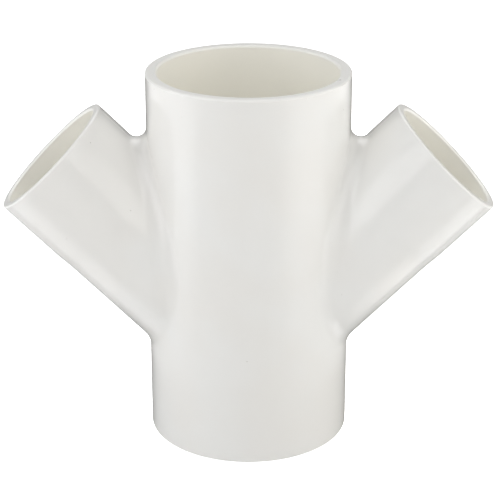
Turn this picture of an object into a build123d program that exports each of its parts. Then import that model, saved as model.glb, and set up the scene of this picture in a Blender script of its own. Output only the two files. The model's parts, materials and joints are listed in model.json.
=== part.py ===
from build123d import *
import os
from math import cos, radians, sin, tan

# A cross fitting for drain pipe, also sold as a double wye: a straight run with a
# socket at each end, and two smaller branches that leave it at 45 degrees, one to
# each side, and point up. It is a single injection moulding in rigid PVC, so the
# whole fitting is one solid.
#
# Millimetres. The origin is the centre of the bottom mouth, which the fitting
# stands on. +Z is the run's axis, and both branches lie in the XZ plane.

# Pipes that the sockets take: nominal 3 inch and 2 inch, by outside diameter and wall
run_pipe_od = 88.90
run_pipe_wall = 5.49
branch_pipe_od = 60.33
branch_pipe_wall = 3.91

# Radial gap between pipe and socket, which the cement fills
run_pipe_gap = 0.05
branch_pipe_gap = 0.04

# How far a pipe goes in before it meets the stop
run_socket_depth = 38.1
branch_socket_depth = 38.1

# Wall of the hubs round the sockets
run_hub_wall = 5.90
branch_hub_wall = 4.35

# The branches leave the run at this angle from its upper half. All three axes meet in one point.
branch_angle = 45.0

# Plain waterway from each stop to the nearest corner where a branch waterway opens
run_below_branches = 10.6
run_above_branches = 27.6
branch_above_run = 19.5

# The run keeps one outside diameter. A branch's hub stands a little proud of the
# rest of the branch, and a soft shoulder runs down from it.
branch_hub_step = 0.45
branch_hub_length = 35.5
branch_shoulder = 11.3

# Edges
mouth_round = 1.0
mouth_chamfer = 1.0
junction_radius = 5.7
bore_edge_radius = 2.0

# Radii that follow from the pipes and the walls. A waterway is as wide as its pipe is
# inside, so the stop is as deep as the pipe's wall and the flow meets no step.
run_socket_r = run_pipe_od / 2 + run_pipe_gap
branch_socket_r = branch_pipe_od / 2 + branch_pipe_gap
run_hub_r = run_socket_r + run_hub_wall
branch_hub_r = branch_socket_r + branch_hub_wall
run_bore_r = run_pipe_od / 2 - run_pipe_wall
branch_bore_r = branch_pipe_od / 2 - branch_pipe_wall

# Heights and lengths that follow. The branch waterways open between a lower and an
# upper corner on the run's bore, and the stops and the sockets are set off from those.
tilt = radians(branch_angle)
corner_below_axes = (branch_bore_r - run_bore_r * cos(tilt)) / sin(tilt)
corner_above_axes = (branch_bore_r + run_bore_r * cos(tilt)) / sin(tilt)
axes_height = run_socket_depth + run_below_branches + corner_below_axes
run_length = axes_height + corner_above_axes + run_above_branches + run_socket_depth
corner_along_branch = (run_bore_r + branch_bore_r * cos(tilt)) / sin(tilt)
branch_length = corner_along_branch + branch_above_run + branch_socket_depth

UP = (Align.CENTER, Align.CENTER, Align.MIN)
DOWN = (Align.CENTER, Align.CENTER, Align.MAX)


def branch_plane(side, distance):
    """The plane across a branch, this far along its axis from where the axes meet."""
    out = Vector(side * sin(tilt), 0, cos(tilt))
    return Plane(origin=Vector(0, 0, axes_height) + out * distance, x_dir=(0, 1, 0), z_dir=out)


def branch_arm():
    """A solid branch about Z, from the axes' meeting point at Z 0 up to its mouth."""
    body_r = branch_hub_r - branch_hub_step
    shoulder_top = branch_length - branch_hub_length
    shoulder_foot = shoulder_top - branch_shoulder
    middle = (branch_hub_r - branch_hub_step / 2, shoulder_top - branch_shoulder / 2)
    side = Line((body_r, 0), (body_r, shoulder_foot))
    hollow = TangentArc(side @ 1, middle, tangent=(0, 1))
    swell = TangentArc(middle, (branch_hub_r, shoulder_top), tangent=hollow % 1)
    wall = Line(swell @ 1, (branch_hub_r, branch_length))
    ends = Polyline(wall @ 1, (0, branch_length), (0, 0), side @ 0)
    outline = Plane.XZ * make_face([side, hollow, swell, wall, ends])
    return revolve(outline, Axis.Z)


def socket(radius, depth):
    """The space that a pipe takes, from the stop out past the mouth at Z 0, with its lead-in."""
    seat = Pos(0, 0, mouth_chamfer) * Cylinder(radius, depth + mouth_chamfer, align=DOWN)
    lead_in = Cone(radius, radius + 2 * mouth_chamfer, 2 * mouth_chamfer, align=UP)
    return seat + Pos(0, 0, -mouth_chamfer) * lead_in


def junction_edges(shape):
    """The curves where round arms meet at an angle, which are neither lines nor circles."""
    return shape.edges().filter_by(lambda e: e.geom_type not in (GeomType.LINE, GeomType.CIRCLE))


# The crotch above a branch is the sharpest corner. Its blend has to end below the
# top mouth's rounded edge, so a short run limits it.
crotch_height = axes_height + (run_hub_r * cos(tilt) + branch_hub_r) / sin(tilt)
crotch_room = run_length - mouth_round - crotch_height
junction_blend = min(junction_radius, 0.9 * crotch_room * tan(tilt / 2))

# Outside: the run and both branches, with their mouths' outer edges and the junctions rounded
run = Cylinder(run_hub_r, run_length, align=UP)
run_rims = run.edges().filter_by(GeomType.CIRCLE)
body = fillet(run_rims, mouth_round)
arm = branch_arm()
arm = fillet(arm.edges().group_by(Axis.Z)[-1], mouth_round)
for side in (-1, 1):
    body += branch_plane(side, 0) * arm
body = fillet(junction_edges(body), junction_blend)

# Waterways, with the edges where they meet rounded
waterway = Cylinder(run_bore_r, run_length, align=UP)
for side in (-1, 1):
    waterway += branch_plane(side, 0) * Cylinder(branch_bore_r, branch_length, align=UP)
waterway = fillet(junction_edges(waterway), bore_edge_radius)

# Sockets, one at each of the four mouths
bottom_mouth = Plane(origin=(0, 0, 0), x_dir=(0, 1, 0), z_dir=(0, 0, -1))
top_mouth = Plane(origin=(0, 0, run_length), x_dir=(0, 1, 0), z_dir=(0, 0, 1))
fitting = body - waterway
for mouth in (bottom_mouth, top_mouth):
    fitting -= mouth * socket(run_socket_r, run_socket_depth)
for side in (-1, 1):
    fitting -= branch_plane(side, branch_length) * socket(branch_socket_r, branch_socket_depth)

os.makedirs("parts", exist_ok=True)
export_step(fitting, "parts/fitting_body.step")
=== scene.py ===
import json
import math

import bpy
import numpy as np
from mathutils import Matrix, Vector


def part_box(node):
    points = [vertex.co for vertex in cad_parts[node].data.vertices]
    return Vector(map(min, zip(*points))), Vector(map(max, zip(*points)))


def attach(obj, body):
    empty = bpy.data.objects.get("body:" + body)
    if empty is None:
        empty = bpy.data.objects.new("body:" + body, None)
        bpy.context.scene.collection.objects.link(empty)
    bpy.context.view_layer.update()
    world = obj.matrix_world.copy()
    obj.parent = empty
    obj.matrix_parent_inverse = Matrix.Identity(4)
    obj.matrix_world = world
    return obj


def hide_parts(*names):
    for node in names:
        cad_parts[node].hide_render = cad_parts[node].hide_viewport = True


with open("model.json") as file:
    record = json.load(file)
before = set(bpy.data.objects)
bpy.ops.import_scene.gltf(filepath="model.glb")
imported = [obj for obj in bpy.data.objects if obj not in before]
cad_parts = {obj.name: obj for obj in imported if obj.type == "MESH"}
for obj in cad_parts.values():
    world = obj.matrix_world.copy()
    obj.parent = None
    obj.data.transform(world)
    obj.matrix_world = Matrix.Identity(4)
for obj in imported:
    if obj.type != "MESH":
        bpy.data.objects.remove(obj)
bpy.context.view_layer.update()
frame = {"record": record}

# %% [markdown]
# # A moulded cross fitting
# The object is a drain fitting, also called a double wye: a straight run with a
# socket at each end, and two smaller branches that rise from it at 45 degrees. It is
# one injection moulding in rigid white PVC, so the finished model is one piece too.
# The imported CAD model loaded above is the frame for everything here: metres, with +Z
# up the run. Its box is kept now, and the run's radius and length are read from it.

lowest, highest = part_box("fitting_body")
MM = 0.001
print("fitting box, mm:", [round((b - a) / MM, 1) for a, b in zip(lowest, highest)])

# %% [markdown]
# ## The moulding's sizes
# Everything is worked out from the sockets that the record states and from the
# fitting's box, in millimetres, so that the finished mesh lies exactly where the CAD
# solid does. Only what the CAD model leaves plain is added: blends that change size
# round a branch, the sockets' slight taper, soft corners at the stops, and the
# parting line of the mould.

# %% Sizes
mounts = {mount["name"]: mount for mount in frame["record"]["mounts"]}
run_seat_r = mounts["run_top"]["dims"]["r_mm"]
branch_seat_r = mounts["branch_right"]["dims"]["r_mm"]
seat_length = mounts["branch_right"]["dims"]["length_mm"]
branch_seat = np.array(mounts["branch_right"]["pos_m"]) / MM
branch_out = np.array(mounts["branch_right"]["axis"], dtype=float)
branch_out /= np.linalg.norm(branch_out)

mouth_round, mouth_chamfer, stop_corner = 1.0, 1.0, 0.5
branch_wall, hub_step, hub_length, shoulder = 4.35, 0.45, 35.5, 11.3
run_pipe_wall, branch_pipe_wall = 5.49, 3.91
run_gap, branch_gap = 0.05, 0.04
run_taper, branch_taper = 0.15, 0.11

run_r = highest.y / MM
run_length = highest.z / MM
branch_hub_r = branch_seat_r + branch_wall
run_bore_r = run_seat_r - run_gap - run_pipe_wall
branch_bore_r = branch_seat_r - branch_gap - branch_pipe_wall
socket_depth = seat_length + mouth_chamfer
axes_height = branch_seat[2] - branch_seat[0] * branch_out[2] / branch_out[0]
axes_point = np.array([0.0, 0.0, axes_height])
branch_length = branch_seat[0] / branch_out[0] + seat_length / 2 + mouth_chamfer
print(f"run: radius {run_r:.2f}, length {run_length:.2f}, bore radius {run_bore_r:.2f} mm")
print(f"branch: radius {branch_hub_r:.2f}, length {branch_length:.2f}, bore radius {branch_bore_r:.2f} mm")

# %% [markdown]
# ## The skin as a distance field
# Where a branch grows out of the run the moulding has a soft blend, tight in the
# sharp crotch above the branch and more than twice as wide round the sides and
# underneath. A CAD fillet of one radius can't do that, and sculpting would lose the
# true cylinders beside it. So the skin is written as a field: the distance to the
# run, the distance to the branch, and between them the distance to a rolling ball
# that changes size on its way round.

# %% Shapes of the blends
crotch_ball, side_ball, waterway_ball = 5.7, 12.5, 2.0
ball_shrinks_from, ball_shrinks_over = 0.15, 0.8
branch_up = np.array([-branch_out[2], 0.0, branch_out[0]])
AXIS_X, AXIS_Y, AXIS_Z = np.eye(3)


def smooth_step(x):
    """From 0 to 1 as x goes from 0 to 1, with soft ends."""
    x = np.clip(x, 0.0, 1.0)
    return x * x * (3.0 - 2.0 * x)


def hub_share(along):
    """How far up its shoulder a branch is: 0 on its plain body, 1 on the hub."""
    return smooth_step((along - (branch_length - hub_length - shoulder)) / shoulder)


def outer_ball(upness):
    """Blend radius by place round the branch: 1 is the crotch on top, -1 is underneath."""
    upwards = smooth_step((upness - ball_shrinks_from) / ball_shrinks_over)
    return side_ball + (crotch_ball - side_ball) * upwards


def inner_ball(upness):
    """The waterways meet with one small radius all the way round."""
    return np.full_like(upness, waterway_ball)


around = np.array([1.0, 0.5, 0.0, -1.0])
print("blend radius from crotch to underside, mm:", outer_ball(around).round(2))

# %% The field
ridge_width, ridge_fade = 0.24, 2.0
least_sine2 = 1e-4


def skin_field(points, skin):
    """Signed distance in mm from the right half of a skin, positive outside it."""
    x, y, z = points.T
    ring = np.hypot(x, y)
    to_run = ring - skin["run_r"]
    run_slope = np.stack([x / ring, y / ring, np.zeros_like(x)], 1)

    rise = points - axes_point
    along = rise @ branch_out
    radial = rise - along[:, None] * branch_out
    spread = np.linalg.norm(radial, axis=1)
    to_branch = spread - (skin["branch_r"] - skin["step"] * (1.0 - hub_share(along)))
    branch_slope = radial / spread[:, None]

    # the ball rests on both arms, so its centre is found from the angle between their slopes
    ball_r = skin["ball"](radial @ branch_up / spread)
    cosine = np.sum(run_slope * branch_slope, 1)
    sine2 = np.maximum(1.0 - cosine**2, least_sine2)
    under_run, under_branch = ball_r - to_run, ball_r - to_branch
    run_side = (under_run - cosine * under_branch) / sine2
    branch_side = (under_branch - cosine * under_run) / sine2
    from_ball = np.sqrt(np.maximum(run_side * under_run + branch_side * under_branch, 0.0))
    in_blend = (run_side > 0) & (branch_side > 0)
    distance = np.where(in_blend, ball_r - from_ball, np.minimum(to_run, to_branch))

    # the parting line's ridge fades out just before each rounded mouth
    room = np.minimum(np.minimum(run_length - z, z), branch_length - along) - mouth_round
    ridge = skin["ridge"] * np.exp(-((y / ridge_width) ** 2))
    return distance - ridge * smooth_step(room / ridge_fade)


outer_skin = {
    "run_r": run_r,
    "branch_r": branch_hub_r,
    "step": hub_step,
    "ball": outer_ball,
    "ridge": 0.12,
}
inner_skin = {
    "run_r": run_bore_r,
    "branch_r": branch_bore_r,
    "step": 0.0,
    "ball": inner_ball,
    "ridge": 0.0,
}
off_run = np.array([[run_r + 2.0, 0.0, 20.0]])
print("field 2 mm outside the parting line, mm:", skin_field(off_run, outer_skin).round(3))

# %% [markdown]
# ## Sliding points onto the skin
# A field only says how far off a point is, so it needs a mesh. Marching cubes would
# give one, but with uneven faces that catch the light on a glossy part. Here the
# points of a neat grid slide down the field's slope until they lie on the skin, and
# the slope there is the exact shading normal.

# %% Slope and settling
half_step = 0.0005
settle_steps, least_slope2 = 14, 0.2


def field_slope(points, skin):
    """The field's slope, by differences over a thousandth of a millimetre."""
    rises = []
    for axis in (AXIS_X, AXIS_Y, AXIS_Z):
        ahead = skin_field(points + half_step * axis, skin)
        behind = skin_field(points - half_step * axis, skin)
        rises.append(ahead - behind)
    return np.stack(rises, 1) / (2 * half_step)


def settle(points, skin):
    """Slides points down the slope onto the skin, and gives them with their normals."""
    for _ in range(settle_steps):
        slope = field_slope(points, skin)
        away = skin_field(points, skin) / np.maximum(np.sum(slope**2, 1), least_slope2)
        points = points - away[:, None] * slope
    slope = field_slope(points, skin)
    return points, slope / np.linalg.norm(slope, axis=1)[:, None]


settled, _ = settle(off_run, outer_skin)
print("that point settles on the ridge, at radius", np.hypot(*settled[0, :2]).round(3), "mm")

# %% [markdown]
# ## A grid round the junction
# Half of the run's skin is a rectangle with a hole where the branch leaves, so its
# grid is laid like a picture frame. Every column starts on the rectangle's border,
# runs to the hole, turns up the branch and ends at the branch's mouth. Columns crowd
# at the parting line, which is half a millimetre wide. The waterways use the same
# columns, so the mouths can join outside and inside with no stitching.

# %% Columns
half_edge_steps, side_steps = 44, 56
ridge_marks = (0.12, 0.25, 0.45, 0.8)
corner_above, corner_below = math.radians(50), math.radians(120)


def half_edge(angle, radius):
    """Angles from the parting line to a corner of the frame, crowded at the parting line."""
    marks = [mark / radius for mark in ridge_marks]
    rest = np.linspace(marks[-1], angle, half_edge_steps - len(marks) + 1)[1:]
    return np.concatenate([[0.0], marks, rest])


round_run = half_edge(math.pi / 2, run_r)
down_side = np.linspace(0, 1, side_steps + 1)[1:-1]
lean_above = half_edge(corner_above, branch_hub_r)
lean_below = math.pi - half_edge(math.pi - corner_below, branch_hub_r)[::-1]
lean_side = corner_above + (corner_below - corner_above) * down_side

# one side of the parting line from top to bottom: angle round the run, share of the way
# down it, and angle round the branch; then the other side back up
turn = np.concatenate([round_run, np.full(len(down_side), math.pi / 2), round_run[::-1]])
drop = np.concatenate([np.zeros(len(round_run)), down_side, np.ones(len(round_run))])
lean = np.concatenate([lean_above, lean_side, lean_below])
turn = np.concatenate([turn, -turn[-2:0:-1]])
drop = np.concatenate([drop, drop[-2:0:-1]])
lean = np.concatenate([lean, -lean[-2:0:-1]])
print(len(turn), "columns round each branch")

# %% Rows, as first laid
run_crowding, branch_crowding = 1.7, 1.5


def round_axis(first, second, angles):
    """Unit directions round an axis, from two directions across it."""
    return np.cos(angles)[:, None] * first + np.sin(angles)[:, None] * second


def laid_grid(skin, low, high, far, run_rows, branch_rows):
    """Rows on the plain cylinders, from the border on the run to the branch's far end."""
    radius = skin["run_r"]
    root_r = skin["branch_r"] - skin["step"]
    beside = root_r * np.sin(lean)
    depth = np.sqrt(radius**2 - beside**2)
    meet = (depth + root_r * branch_out[0] * np.cos(lean)) / branch_out[0]
    hole_turn = np.arctan2(beside, depth)
    hole_height = axes_height + meet * branch_out[2] + root_r * np.cos(lean) * branch_up[2]
    border_height = high + (low - high) * drop

    rows = []
    for reach in np.linspace(1, 0, run_rows + 1) ** run_crowding:
        angle = hole_turn + reach * (turn - hole_turn)
        level = hole_height + reach * (border_height - hole_height)
        rows.append(radius * round_axis(AXIS_X, AXIS_Y, angle) + level[:, None] * AXIS_Z)
    for reach in np.linspace(0, 1, branch_rows + 1)[1:] ** branch_crowding:
        along = meet + reach * (far - meet)
        hub = skin["branch_r"] - skin["step"] * (1.0 - hub_share(along))
        across = hub[:, None] * round_axis(branch_up, AXIS_Y, lean)
        rows.append(axes_point + along[:, None] * branch_out + across)
    return np.array(rows)


quarter_turns = round_axis(AXIS_X, AXIS_Y, np.array([0, math.pi / 2]))
print("directions a quarter turn apart:", quarter_turns.round(3).tolist())

# %% [markdown]
# ## Rows where the skin bends
# A blend needs many rows and a straight wall needs few. After each settling the rows
# of a column are spread again by how far and how sharply the skin runs between them.
# The run's part and the branch's part are spread apart from each other, so that the
# row in the valley between them stays there.

# %% Respacing and settling the grid
bend_weight, blur_passes = 10.0, 8
plain_passes = 3


def shares(steps):
    """How far along its column each row is, from 0 to 1."""
    place = np.concatenate([np.zeros((1, steps.shape[1])), np.cumsum(steps, 0)])
    return place / place[-1]


def respaced(points, normals):
    """The same columns with their rows spread evenly, but closer where the skin turns."""
    lengths = np.linalg.norm(np.diff(points, axis=0), axis=2)
    turns = np.linalg.norm(np.diff(normals, axis=0), axis=2)
    here, effort = shares(lengths), shares(lengths + bend_weight * turns)
    even = np.linspace(0, 1, len(points))
    columns = range(points.shape[1])
    target = np.stack([np.interp(even, effort[:, c], here[:, c]) for c in columns], 1)
    # neighbouring columns settle on nearly the same spacing, so that rows run smoothly
    for _ in range(blur_passes):
        target = (np.roll(target, 1, 1) + 2 * target + np.roll(target, -1, 1)) / 4
    spread = []
    for c in columns:
        spread.append([np.interp(target[:, c], here[:, c], points[:, c, axis]) for axis in range(3)])
    return np.array(spread).transpose(2, 0, 1)


def junction_grid(skin, low, high, far, run_rows, branch_rows):
    """Rows of settled points and normals, from the border on the run to the branch's far end."""
    grid = laid_grid(skin, low, high, far, run_rows, branch_rows)
    border, mouth = grid[0], grid[-1]
    # the ridge comes in the last pass, because its steep sides would push a long slide sideways
    for ridge in plain_passes * [0.0] + [skin["ridge"]]:
        points, normals = settle(grid.reshape(-1, 3), dict(skin, ridge=ridge))
        points, normals = points.reshape(grid.shape), normals.reshape(grid.shape)
        slide = np.abs(points - grid).max()
        points[0], points[-1] = border, mouth
        on_run = respaced(points[: run_rows + 1], normals[: run_rows + 1])
        on_branch = respaced(points[run_rows:], normals[run_rows:])
        grid = np.concatenate([on_run[:-1], on_branch])
    print(f"{points.size // 3} points settled, the last of them by up to {slide:.3f} mm")
    return points, normals


stop_depth = socket_depth + stop_corner
outside = junction_grid(
    outer_skin,
    low=mouth_round,
    high=run_length - mouth_round,
    far=branch_length - mouth_round,
    run_rows=24,
    branch_rows=34,
)
inside = junction_grid(
    inner_skin,
    low=stop_depth,
    high=run_length - stop_depth,
    far=branch_length - stop_depth,
    run_rows=14,
    branch_rows=12,
)

# %% [markdown]
# ## Mouths
# A mouth is round, so it is a short profile swept about its axis: the rounded outer
# edge, the flat rim, the lead-in chamfer, the socket's wall, which narrows a few
# tenths towards the stop so that the cement joint closes up, and the stop with its
# soft corners. Each step of the profile keeps its own normals, so a crisp edge
# stays crisp and a round one shades round, however coarse the steps are.

# %% Steps of a profile
def arc(centre_r, centre_h, radius, start, end, hollow, steps):
    """Steps along an arc. A mark is radius, height, and the normal's parts out and up."""
    facing = -1.0 if hollow else 1.0
    marks = []
    for angle in np.radians(np.linspace(start, end, steps + 1)):
        out, up = math.cos(angle), math.sin(angle)
        marks.append((centre_r + radius * out, centre_h + radius * up, facing * out, facing * up))
    return list(zip(marks[:-1], marks[1:]))


def straight(r0, h0, r1, h1, steps=1):
    """Steps along a line that has the plastic on its left, going along it."""
    length = math.hypot(r1 - r0, h1 - h0)
    normal = ((h1 - h0) / length, (r0 - r1) / length)
    marks = []
    for share in np.linspace(0, 1, steps + 1):
        marks.append((r0 + share * (r1 - r0), h0 + share * (h1 - h0), *normal))
    return list(zip(marks[:-1], marks[1:]))


quarter_round = arc(run_r - mouth_round, -mouth_round, mouth_round, 0, 90, False, 2)
print("a rounded edge in two steps, radius and height:", np.round(quarter_round, 2)[:, :, :2].tolist())

# %% The four mouths
edge_steps, seat_steps, corner_steps = 5, 6, 3


def mouth_profile(outer_r, seat_r, taper, bore_r):
    """From the outer edge over the rim, down the socket and over the stop. Height 0 is the mouth."""
    wide, tight = seat_r + taper, seat_r - taper
    rim_outer_r, rim_inner_r = outer_r - mouth_round, wide + mouth_chamfer
    seat_end, stop = stop_corner - socket_depth, -socket_depth
    return (
        arc(rim_outer_r, -mouth_round, mouth_round, 0, 90, False, edge_steps)
        + straight(rim_outer_r, 0, rim_inner_r, 0)
        + straight(rim_inner_r, 0, wide, -mouth_chamfer)
        + straight(wide, -mouth_chamfer, tight, seat_end, seat_steps)
        + arc(tight - stop_corner, seat_end, stop_corner, 0, -90, True, corner_steps)
        + straight(tight - stop_corner, stop, bore_r + stop_corner, stop)
        + arc(bore_r + stop_corner, stop - stop_corner, stop_corner, 90, 180, False, corner_steps)
    )


def swept(profile, centre, out, directions):
    """Sweeps a profile about an axis: for each step, two rows of points and of normals."""
    strips = []
    for ends in profile:
        points = np.array([centre + h * out + r * directions for r, h, _, _ in ends])
        normals = np.array([nr * directions + nh * out for _, _, nr, nh in ends])
        strips.append((points, normals))
    return strips


half_turn = np.concatenate([-round_run[:0:-1], round_run])
full_turn = np.concatenate([half_turn[:-1], math.pi - half_turn[:0:-1]])
run_directions = round_axis(AXIS_X, AXIS_Y, full_turn)
branch_directions = round_axis(branch_up, AXIS_Y, lean)
branch_end = axes_point + branch_length * branch_out
run_profile = mouth_profile(run_r, run_seat_r, run_taper, run_bore_r)
branch_profile = mouth_profile(branch_hub_r, branch_seat_r, branch_taper, branch_bore_r)
top_mouth = swept(run_profile, run_length * AXIS_Z, AXIS_Z, run_directions)
bottom_mouth = swept(run_profile, 0 * AXIS_Z, -AXIS_Z, run_directions)
branch_mouth = swept(branch_profile, branch_end, branch_out, branch_directions)
print(len(run_profile), "steps in a mouth,", len(full_turn), "columns round the run")

# %% [markdown]
# ## One closed mesh
# Outside and waterways are two skins from one recipe, the second turned inside out,
# and the mouths join them. The left half mirrors the right. Corners that meet are
# welded into one watertight shell, and each face corner keeps its exact normal.

# %% All the faces
MIRROR = np.array([-1.0, 1.0, 1.0])


def quads(points, normals):
    """Faces between the rows of a closed grid, as corner points and corner normals."""
    next_points, next_normals = np.roll(points, -1, 1), np.roll(normals, -1, 1)
    corners = np.stack([points[:-1], next_points[:-1], next_points[1:], points[1:]], 2)
    facing = np.stack([normals[:-1], next_normals[:-1], next_normals[1:], normals[1:]], 2)
    corners, facing = corners.reshape(-1, 4, 3), facing.reshape(-1, 4, 3)
    flat = np.cross(corners[:, 2] - corners[:, 0], corners[:, 3] - corners[:, 1])
    wrong_way = np.sum(flat * facing.sum(1), 1) < 0
    corners[wrong_way] = corners[wrong_way, ::-1]
    facing[wrong_way] = facing[wrong_way, ::-1]
    return corners, facing


right_half = [quads(*outside), quads(inside[0], -inside[1])]
right_half += [quads(*strip) for strip in branch_mouth]
left_half = [((c * MIRROR)[:, ::-1], (n * MIRROR)[:, ::-1]) for c, n in right_half]
whole = right_half + left_half + [quads(*strip) for strip in top_mouth + bottom_mouth]
corners = np.concatenate([c for c, _ in whole])
facing = np.concatenate([n for _, n in whole])
print(len(corners), "faces before welding")

# %% Welding
# corners in the same 2 micron cell are the same vertex, and the cells' borders are shifted
# by part of a cell so that no round number falls on one
weld_cell, border_shift = 0.002, 0.37
cells = np.floor(corners.reshape(-1, 3) / weld_cell + border_shift).astype(np.int64)
_, first, index = np.unique(cells, axis=0, return_index=True, return_inverse=True)
vertices = corners.reshape(-1, 3)[first] * MM
faces = index.reshape(-1, 4)
edges = np.sort(np.stack([faces, np.roll(faces, -1, 1)], 2).reshape(-1, 2), 1)
uses = np.unique(edges, axis=0, return_counts=True)[1]
print(len(vertices), "vertices,", len(faces), "faces")
print("edges without exactly two faces:", int(np.sum(uses != 2)))

# %% The fitting
mesh = bpy.data.meshes.new("cross_fitting")
mesh.from_pydata(vertices.tolist(), [], faces.tolist())
mesh.shade_smooth()
mesh.normals_split_custom_set(facing.reshape(-1, 3).tolist())
mesh.update()
fitting = bpy.data.objects.new("cross_fitting", mesh)
bpy.context.scene.collection.objects.link(fitting)
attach(fitting, "root")
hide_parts("fitting_body")
print("size, mm:", [round(side / MM, 2) for side in fitting.dimensions])

# %% [markdown]
# ## Rigid white PVC
# The real thing is unplasticised PVC, whitened with titanium dioxide and injected
# into a polished steel mould. That gives a clean, slightly warm white with a satin
# gloss. Up close it isn't flat: the skin has a very fine orange peel, slow waves
# where thick plastic shrank, hair-thin scuffs from handling, dull rims, and here and
# there a dark speck in the resin. The sockets are shaped by cores, which are dressed
# less finely, so they are duller. Their insides are also painted lighter and warmer
# than the outside: painted light, standing for the light that falls and bounces in them.
# Image textures could show all this, but patterns worked out from the position in
# millimetres have their real size everywhere and show no seam. A single small function
# adds each shader node.

# %% Colours and nodes
TIMES, PLUS, MINUS = ({"operation": word} for word in ("MULTIPLY", "ADD", "SUBTRACT"))
ABSOLUTE, ANGLE, LENGTH = ({"operation": word} for word in ("ABSOLUTE", "ARCTAN2", "LENGTH"))
SOFT = {"interpolation_type": "SMOOTHSTEP"}
COLOUR = {"data_type": "RGBA"}


def linear(hex_colour):
    """The linear RGBA of an sRGB colour such as "f0eeea"."""
    channels = [int(hex_colour[i : i + 2], 16) / 255 for i in (0, 2, 4)]
    return [c / 12.92 if c <= 0.04045 else ((c + 0.055) / 1.055) ** 2.4 for c in channels] + [1.0]


def add_node(tree, kind, settings, inputs, output=0):
    """Adds a shader node with its settings and its inputs, by name or in order, and gives an output."""
    node = tree.nodes.new("ShaderNode" + kind)
    for name, value in settings.items():
        setattr(node, name, value)
    # the settings decide which of a node's sockets are in use, and only those count
    in_use = [socket for socket in node.inputs if socket.enabled]
    by_name = {socket.name: socket for socket in in_use}
    for key, value in inputs.items() if isinstance(inputs, dict) else enumerate(inputs):
        socket = by_name[key] if isinstance(key, str) else in_use[key]
        if isinstance(value, bpy.types.NodeSocket):
            tree.links.new(value, socket)
        else:
            socket.default_value = value
    outputs = [socket for socket in node.outputs if socket.enabled and output in (0, socket.name)]
    return outputs[0] if outputs else node


def new_material(name):
    """A node material with nothing in it yet."""
    material = bpy.data.materials.new(name)
    material.use_nodes = True
    material.node_tree.nodes.clear()
    return material


print("white f0eeea is linear", [round(c, 3) for c in linear("f0eeea")])

# %% [markdown]
# ## What each place on the skin is
# The shader has to know how far it is from a mouth, where the rims are rubbed, and
# which side was shaped by a core. Nodes could measure both, but a few lines on the
# vertices do it too, so two values are stored with each vertex instead.

# %% Values stored with the vertices
in_mm = vertices / MM
folded = np.abs(in_mm) * AXIS_X + in_mm * (AXIS_Y + AXIS_Z) - axes_point
along_branch = folded @ branch_out
from_branch = np.linalg.norm(folded - along_branch[:, None] * branch_out, axis=1)
from_run = np.hypot(in_mm[:, 0], in_mm[:, 1])
inside_run = run_seat_r + mouth_chamfer - from_run
inside_branch = branch_seat_r + mouth_chamfer - from_branch
cored = np.clip(np.maximum(inside_run, inside_branch), 0, 1)
to_ends = np.stack([in_mm[:, 2], run_length - in_mm[:, 2], branch_length - along_branch])
for name, values in {"cored": cored, "to_mouth": to_ends.min(0)}.items():
    mesh.attributes.new(name, "FLOAT", "POINT").data.foreach_set("value", values.astype(np.float32))
print(f"{np.mean(cored > 0.5):.0%} of the vertices are on the cores' side")

# %% Positions for the shader
pvc = new_material("injection_moulded_white_pvc")
nodes = pvc.node_tree
metres = add_node(nodes, "TexCoord", {}, (), "Object")
place = add_node(nodes, "VectorMath", TIMES, (metres, (1 / MM, 1 / MM, 1 / MM)))
x_mm, y_mm, z_mm = (add_node(nodes, "SeparateXYZ", {}, (place,), axis) for axis in "XYZ")
core_side = add_node(nodes, "Attribute", {"attribute_name": "cored"}, (), "Fac")
to_mouth = add_node(nodes, "Attribute", {"attribute_name": "to_mouth"}, (), "Fac")
print(len(nodes.nodes), "nodes give the shader its place")

# %% [markdown]
# ## Patterns of the moulded skin
# Soft noise of the right size does for most of them: clouds in the colour and gloss,
# the orange peel of plastic that froze against steel, and the slow waves where it
# shrank. Real peel is often finer than a millimetre, too fine to show at this
# distance, so it is drawn a little coarser. Each noise is named for what it stands for.

# %% Clouds, waves and peel
# each pattern's lumps are about this many millimetres across, and this finely broken up
lump_sizes = {
    "slow_cloud": (45.0, 2.0),
    "fine_cloud": (2.6, 4.0),
    "orange_peel": (1.5, 1.0),
    "shrink_wave": (24.0, 0.0),
    "scuffed_patches": (17.0, 2.0),
    "rim_wear": (9.0, 2.0),
    "mark_fading": (14.0, 0.0),
}
lumps = {}
for name, (across, detail) in lump_sizes.items():
    grain = {"Vector": place, "Scale": 1 / across, "Detail": detail}
    lumps[name] = add_node(nodes, "TexNoise", {}, grain)
print("lumps, mm:", {name: across for name, (across, _) in lump_sizes.items()})

# %% [markdown]
# ## Marks of use and of the mould
# A fitting from a box has rubbed against others, so it has scuffs in patches, and the
# ends of its mouths are dull. Scuffs could be drawn as curves, but a noise that is
# stretched along the run has threads of its own, wherever it crosses its middle. A
# lattice of random points gives the specks, and two rings come from simple distances.

# %% Scuffs
# thin upright threads, kept only in some patches and off the cores' side
thread_gap, thread_width = 1.6, 0.012
stretched = add_node(nodes, "VectorMath", TIMES, (place, (1.0, 0.8, 0.09)))
grain = {"Vector": stretched, "Scale": 1 / thread_gap, "Detail": 2.0}
above_middle = add_node(nodes, "Math", MINUS, (add_node(nodes, "TexNoise", {}, grain), 0.5))
off_middle = add_node(nodes, "Math", ABSOLUTE, (above_middle,))
thread = add_node(nodes, "MapRange", SOFT, (off_middle, 0.0, thread_width, 1.0, 0.0))
patch = add_node(nodes, "MapRange", SOFT, (lumps["scuffed_patches"], 0.54, 0.66))
handled = add_node(nodes, "Math", MINUS, (1.0, core_side))
scuffs = add_node(nodes, "Math", TIMES, (add_node(nodes, "Math", TIMES, (thread, patch)), handled))
print(len(nodes.nodes), "nodes with the scuffs")

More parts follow.
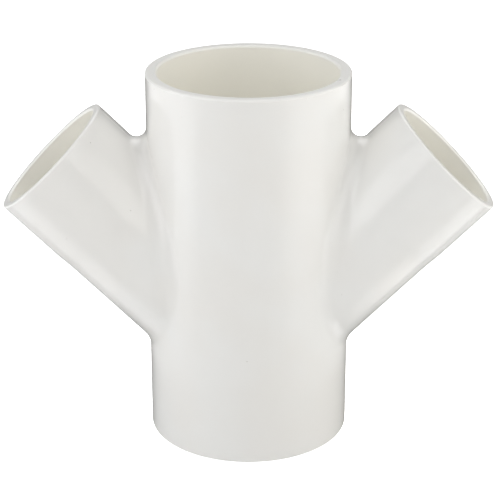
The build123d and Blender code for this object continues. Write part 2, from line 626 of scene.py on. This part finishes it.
# %% Specks and rims
# specks: dark points up to two thirds of a millimetre across, wherever a seed of a 16 mm
# lattice happens to lie in the skin
speck_cell = 16.0
seeds = {"Vector": place, "Scale": 1 / speck_cell}
to_seed = add_node(nodes, "Math", TIMES, (add_node(nodes, "TexVoronoi", {}, seeds), speck_cell))
specks = add_node(nodes, "MapRange", SOFT, (to_seed, 0.12, 0.34, 1.0, 0.0))

# rims: rubbed dull for the last two millimetres or so, a little unevenly
near_mouth = add_node(nodes, "MapRange", SOFT, (to_mouth, 0.4, 2.4, 1.0, 0.0))
unevenly = add_node(nodes, "MapRange", SOFT, (lumps["rim_wear"], 0.3, 0.7, 0.85, 1.0))
rims = add_node(nodes, "Math", TIMES, (near_mouth, unevenly))
print(f"a speck can lie in each {speck_cell:.0f} mm cell of the lattice")

# %% Two round marks
# Inserts in the mould left two faint rings on the front of the run, 24 mm across. They sit
# 60 mm apart, one above the other, so one circle folded about their middle makes both.
mark_x, mark_middle, half_gap, mark_r, ring_width = 3.0, 126.55, 30.05, 12.15, 0.55
aside = add_node(nodes, "Math", MINUS, (x_mm, mark_x))
above_middle = add_node(nodes, "Math", MINUS, (z_mm, mark_middle))
folded_up = add_node(nodes, "Math", ABSOLUTE, (above_middle,))
above_mark = add_node(nodes, "Math", MINUS, (folded_up, half_gap))
on_front = add_node(nodes, "CombineXYZ", {}, (aside, 0.0, above_mark))
from_mark = add_node(nodes, "VectorMath", LENGTH, (on_front,))
beyond_circle = add_node(nodes, "Math", MINUS, (from_mark, mark_r))
off_circle = add_node(nodes, "Math", ABSOLUTE, (beyond_circle,))
circle = add_node(nodes, "MapRange", SOFT, (off_circle, 0.0, ring_width, 1.0, 0.0))
front = add_node(nodes, "MapRange", SOFT, (y_mm, -44.0, -40.0, 1.0, 0.0))
faded = add_node(nodes, "MapRange", SOFT, (lumps["mark_fading"], 0.38, 0.56, 0.25, 1.0))
marks = add_node(nodes, "Math", TIMES, (add_node(nodes, "Math", TIMES, (circle, front)), faded))
print("marks at", [round(mark_middle + side * half_gap, 1) for side in (-1, 1)], "mm up the run")

# %% [markdown]
# ## Colour, gloss and relief
# Filled PVC scatters light just under its skin, so it looks like matt white with a
# clear gloss on top. One principled shader does both, with PVC's IOR of 1.53. The
# patterns go in three ways: as tints, as extra roughness, and as heights for one bump.

# %% Colour
# the white drifts a little from cool to warm; the cores' side, inside the sockets, is painted lighter and
# warmer as painted light, and rims are chalky
drift = add_node(nodes, "MapRange", SOFT, (lumps["slow_cloud"], 0.35, 0.65))
colour = add_node(nodes, "Mix", COLOUR, (drift, linear("efefed"), linear("eeedea")))
for share, pattern, tone in ((0.9, core_side, "f7f5ec"), (0.6, rims, "f1f1ee"), (0.6, specks, "8f8b80")):
    amount = add_node(nodes, "Math", TIMES, (pattern, share))
    colour = add_node(nodes, "Mix", COLOUR, (amount, colour, linear(tone)))
print(len(nodes.nodes), "nodes with the colour")

# %% Gloss
# a polished mould gives PVC a roughness near 0.15; cores, rims and scuffs are duller
glossiest, least_glossy = 0.12, 0.16
core_dullness = 0.20
gloss_range = (lumps["slow_cloud"], 0.3, 0.7, glossiest, least_glossy)
roughness = add_node(nodes, "MapRange", SOFT, gloss_range)
dullness = (
    (0.03, lumps["fine_cloud"]),
    (0.10, scuffs),
    (0.16, rims),
    (core_dullness, core_side),
    (0.03, marks),
)
for amount, pattern in dullness:
    extra = add_node(nodes, "Math", TIMES, (pattern, amount))
    roughness = add_node(nodes, "Math", PLUS, (roughness, extra))
print(f"roughness from {glossiest}, and from {glossiest + core_dullness:.2f} on the cores' side")

# %% Relief
# heights in micrometres, summed for one bump that works in metres
heights = (
    (60.0, lumps["shrink_wave"]),
    (-2.0, scuffs),
    (13.0, marks),
    (-8.0, specks),
)
height = add_node(nodes, "Math", TIMES, (lumps["orange_peel"], 5.0))
for microns, pattern in heights:
    extra = add_node(nodes, "Math", TIMES, (pattern, microns))
    height = add_node(nodes, "Math", PLUS, (height, extra))
# the cores' side is dull rather than wavy, so it keeps only a fifth of the relief
kept_share = add_node(nodes, "MapRange", {}, (core_side, 0.0, 1.0, 1.0, 0.2))
height = add_node(nodes, "Math", TIMES, (height, kept_share))
relief = add_node(nodes, "Bump", {}, {"Strength": 1.0, "Distance": 1e-6, "Height": height})

satin = {"Base Color": colour, "Roughness": roughness, "IOR": 1.53, "Normal": relief}
add_node(nodes, "OutputMaterial", {}, {"Surface": add_node(nodes, "BsdfPrincipled", {}, satin)})
mesh.materials.append(pvc)
print(len(nodes.nodes), "nodes in the whole PVC")

# %% [markdown]
# ## Floor
# The fitting stands on a plain white table. A white floor that is lit like the
# fitting turns grey in its shadow and beyond the lamps, so there are two: one that
# only the camera sees, which glows so that it is white right out to the horizon, and
# a plain one just below it that sends the lamps' light up at the fitting.

# %% Floor
def rectangle(half_x, half_y):
    """Corners of a rectangle about the middle."""
    return [(-half_x, -half_y), (half_x, -half_y), (half_x, half_y), (-half_x, half_y)]


def stage_plane(name, corners, material, height, hidden_from):
    """A flat part of the set, left out of some kinds of ray."""
    plane = bpy.data.meshes.new(name)
    plane.from_pydata([(x, y, 0) for x, y in corners], [], [(0, 1, 2, 3)])
    plane.materials.append(material)
    piece = bpy.data.objects.new(name, plane)
    piece.location.z = height
    for ray in hidden_from:
        setattr(piece, "visible_" + ray, False)
    bpy.context.scene.collection.objects.link(piece)
    return piece


def matt_white(name, glow):
    """White paint with no gloss, which also glows by this much."""
    material = new_material(name)
    paint = {
        "Base Color": linear("f4f4f4"),
        "Roughness": 1.0,
        "Specular IOR Level": 0.0,
        "Emission Color": linear("ffffff"),
        "Emission Strength": glow,
    }
    surface = add_node(material.node_tree, "BsdfPrincipled", {}, paint)
    add_node(material.node_tree, "OutputMaterial", {}, {"Surface": surface})
    return material


half_floor, bounce_depth = 6, 0.0005
whole_floor = rectangle(half_floor, half_floor)
seen, bounce = matt_white("floor_seen", 1.0), matt_white("floor_bounce", 0.0)
stage_plane("floor", whole_floor, seen, 0.0, ("diffuse", "glossy", "shadow"))
stage_plane("floor_bounce", whole_floor, bounce, -bounce_depth, ("camera", "glossy"))
print("floor", 2 * half_floor, "m wide")

# %% [markdown]
# ## What a polished table would mirror
# Seen from above, the run's upright walls reflect the table, and the bright stripes
# down them are the table's own reflection of the lamps. A mirror for a floor would
# show the fitting upside down too. So the floor is matt, and what the plastic should
# see in it is put below it, for reflections only: a fan of light on each side, and
# the image of a ceiling lamp deep down on each side, for the undersides of the branches.

# %% Light that only reflections see, and the two fans
def table_glow(name, corners, depth, fades, strength):
    """A clear plane under the floor that glows, with soft fades measured from its own middle."""
    material = new_material(name)
    tree = material.node_tree
    here = add_node(tree, "TexCoord", {}, (), "Object")
    x, y = (add_node(tree, "SeparateXYZ", {}, (here,), axis) for axis in "XY")
    measures = {
        "across": add_node(tree, "Math", ABSOLUTE, (x,)),
        "back": add_node(tree, "Math", ABSOLUTE, (y,)),
        "turn": add_node(tree, "Math", ABSOLUTE, (add_node(tree, "Math", ANGLE, (y, x)),)),
        "reach": add_node(tree, "VectorMath", LENGTH, (here,)),
    }
    glow = strength
    for measure, start, end, first, last in fades:
        fade = add_node(tree, "MapRange", SOFT, (measures[measure], start, end, first, last))
        glow = add_node(tree, "Math", TIMES, (glow, fade))
    light = add_node(tree, "Emission", {}, {"Strength": glow})
    both = add_node(tree, "AddShader", {}, (light, add_node(tree, "BsdfTransparent", {}, ())))
    add_node(tree, "OutputMaterial", {}, {"Surface": both})
    material.cycles.emission_sampling = "NONE"
    hidden_from = ("camera", "diffuse", "shadow", "transmission")
    return stage_plane(name, corners, material, -depth, hidden_from)


# a fan starts beside the fitting's foot and swells outwards; azimuth 90 is to the right
fan_reach, fan_depth, fan_strength = 2, 0.001, 1.5
fan_corners = ((0, -fan_reach), (fan_reach, -fan_reach), (fan_reach, fan_reach), (0, fan_reach))
for name, azimuth, half_angle in (("left_fan", -98, 46), ("right_fan", 91, 58)):
    wide_open = math.radians(half_angle)
    fades = (
        ("turn", wide_open * 0.55, wide_open * 1.1, 1.0, 0.0),
        ("reach", 0.10, 0.13, 0.0, 1.0),
        ("reach", 0.14, 0.40, 0.28, 1.0),
    )
    fan = table_glow(name, fan_corners, fan_depth, fades, fan_strength)
    fan.rotation_euler.z = math.radians(azimuth - 90)
    print(name, "opens", 2 * half_angle, "degrees round azimuth", azimuth)

# %% Images of the ceiling lamps
# a lamp 1 m above the table is mirrored 1 m below it
lamp_depth, full_back, half_back = 1.0, 0.30, 0.60
for name, middle, half_across, edge, strength in (
    ("left_lamp_image", -0.76, 0.30, 0.08, 0.9),
    ("right_lamp_image", 0.94, 0.28, 0.06, 1.4),
):
    fades = (
        ("across", half_across - edge, half_across, 1.0, 0.0),
        ("back", full_back, half_back, 1.0, 0.0),
    )
    lamp = table_glow(name, rectangle(half_across, half_back), lamp_depth, fades, strength)
    lamp.location.x = middle
    print(name, "is", 2 * half_across, "m across")

# %% [markdown]
# ## Lights
# White plastic only shows its shape when light comes from many sides and no side is
# dark. Bare lamps would burn small hot spots into the gloss, so every light is a
# large soft panel: a wall of light at each side, weaker ones in front, one high in
# front, and a strong high one behind that draws the rims. The right ones are a touch
# warmer. The room itself is nearly dark.

# %% Lights
NEUTRAL, WARM = (1.0, 1.0, 1.0), (1.0, 0.982, 0.945)


def light_panel(name, azimuth, reach, height, aim_height, size, watts, tint):
    """A soft panel. Azimuth 0 is in front of the fitting, and 90 is to its right."""
    light = bpy.data.lights.new(name, "AREA")
    light.shape, light.size, light.size_y = "RECTANGLE", *size
    light.energy, light.color = watts, tint
    panel = bpy.data.objects.new(name, light)
    angle = math.radians(azimuth)
    panel.location = (reach * math.sin(angle), -reach * math.cos(angle), height)
    aim = Vector((0, 0, aim_height)) - panel.location
    panel.rotation_mode = "QUATERNION"
    panel.rotation_quaternion = aim.to_track_quat("-Z", "Y")
    panel.visible_camera = False
    bpy.context.scene.collection.objects.link(panel)


wall_size, wall_reach, wall_height = (1.05, 1.5), 1.5, 0.79
for name, azimuth, watts, tint in (
    ("left_wall", -90, 10.0, NEUTRAL),
    ("left_front", -45, 8.5, NEUTRAL),
    ("right_front", 45, 7.2, WARM),
    ("right_wall", 90, 11.5, WARM),
):
    light_panel(name, azimuth, wall_reach, wall_height, wall_height, wall_size, watts, tint)

high_size, high_reach, high_height, high_aim = (2.5, 1.4), 1.2, 1.78, 0.1
for name, azimuth, watts in (("high_front", 0, 14.0), ("high_back", 180, 24.0)):
    light_panel(name, azimuth, high_reach, high_height, high_aim, high_size, watts, NEUTRAL)

studio = bpy.data.worlds.new("studio")
studio.use_nodes = True
studio.node_tree.nodes["Background"].inputs["Color"].default_value = linear("ffffff")
studio.node_tree.nodes["Background"].inputs["Strength"].default_value = 0.01
scene = bpy.context.scene
scene.world = studio
scene.view_settings.view_transform = "Standard"

# %% [markdown]
# ## Camera
# A long lens from nearly 0.9 m away keeps the fitting's proportions, and looking down
# by 22 degrees opens the top mouth without hiding the branches. The camera is placed
# by an angle and a distance from what it aims at, so it is easy to walk round.

# %% Camera
lens_mm, elevation, distance = 125.4, math.radians(22.12), 0.8814
aim = Vector((0.0007, 0, 0.0943))
camera_data = bpy.data.cameras.new("camera")
camera_data.lens = lens_mm
camera = bpy.data.objects.new("camera", camera_data)
back = Vector((0, -math.cos(elevation), math.sin(elevation)))
camera.location = aim + back * distance
camera.rotation_mode = "QUATERNION"
camera.rotation_quaternion = (-back).to_track_quat("-Z", "Y")
scene.collection.objects.link(camera)
scene.camera = camera
print("camera at", [round(value, 3) for value in camera.location], "m")
